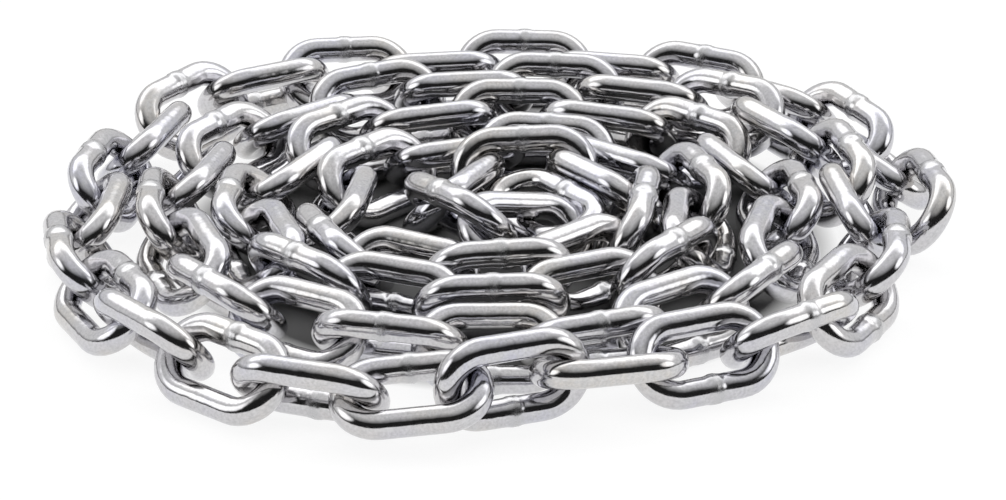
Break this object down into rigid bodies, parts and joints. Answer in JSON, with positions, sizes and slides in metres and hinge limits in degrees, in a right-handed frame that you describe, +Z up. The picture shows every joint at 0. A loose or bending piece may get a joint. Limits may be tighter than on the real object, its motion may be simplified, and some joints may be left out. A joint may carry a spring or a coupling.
{
  "type": "heap of steel chain",
  "caption": "Heap of bright zinc-plated welded steel chain, laid flat in a spiral that fills a round disc, one strand high, on a level floor.",
  "frame": {"origin": "on the floor, under the middle of the heap's bounding box", "axes": "+Z up, -Y towards the front of the heap as pictured, +X to the right"},
  "size_m": [0.2372, 0.2264, 0.026],
  "materials": {
    "zinc_plated_steel": "bright zinc plate, smooth and mirror-like, slightly greyer than chromium"
  },
  "bodies": {
    "root": {"inner_turns": "zinc_plated_steel", "link_01": "zinc_plated_steel", "link_02": "zinc_plated_steel", "link_03": "zinc_plated_steel", "link_04": "zinc_plated_steel", "link_05": "zinc_plated_steel", "link_06": "zinc_plated_steel", "link_07": "zinc_plated_steel", "link_08": "zinc_plated_steel", "link_09": "zinc_plated_steel", "link_10": "zinc_plated_steel", "link_11": "zinc_plated_steel", "link_12": "zinc_plated_steel", "link_13": "zinc_plated_steel", "link_14": "zinc_plated_steel", "link_15": "zinc_plated_steel", "link_16": "zinc_plated_steel", "link_17": "zinc_plated_steel", "link_18": "zinc_plated_steel", "link_19": "zinc_plated_steel", "link_20": "zinc_plated_steel", "link_21": "zinc_plated_steel", "link_22": "zinc_plated_steel", "link_23": "zinc_plated_steel", "link_24": "zinc_plated_steel", "link_25": "zinc_plated_steel", "link_26": "zinc_plated_steel", "link_27": "zinc_plated_steel", "link_28": "zinc_plated_steel", "link_29": "zinc_plated_steel", "link_30": "zinc_plated_steel", "link_31": "zinc_plated_steel", "link_32": "zinc_plated_steel", "link_33": "zinc_plated_steel", "link_34": "zinc_plated_steel", "link_35": "zinc_plated_steel", "link_36": "zinc_plated_steel", "link_37": "zinc_plated_steel", "link_38": "zinc_plated_steel", "link_39": "zinc_plated_steel", "link_40": "zinc_plated_steel", "link_41": "zinc_plated_steel", "link_42": "zinc_plated_steel", "link_43": "zinc_plated_steel", "link_44": "zinc_plated_steel", "link_45": "zinc_plated_steel", "link_46": "zinc_plated_steel", "link_47": "zinc_plated_steel", "link_48": "zinc_plated_steel", "link_49": "zinc_plated_steel", "link_50": "zinc_plated_steel", "link_51": "zinc_plated_steel", "link_52": "zinc_plated_steel", "link_53": "zinc_plated_steel", "link_54": "zinc_plated_steel"}
  },
  "joints": []
}
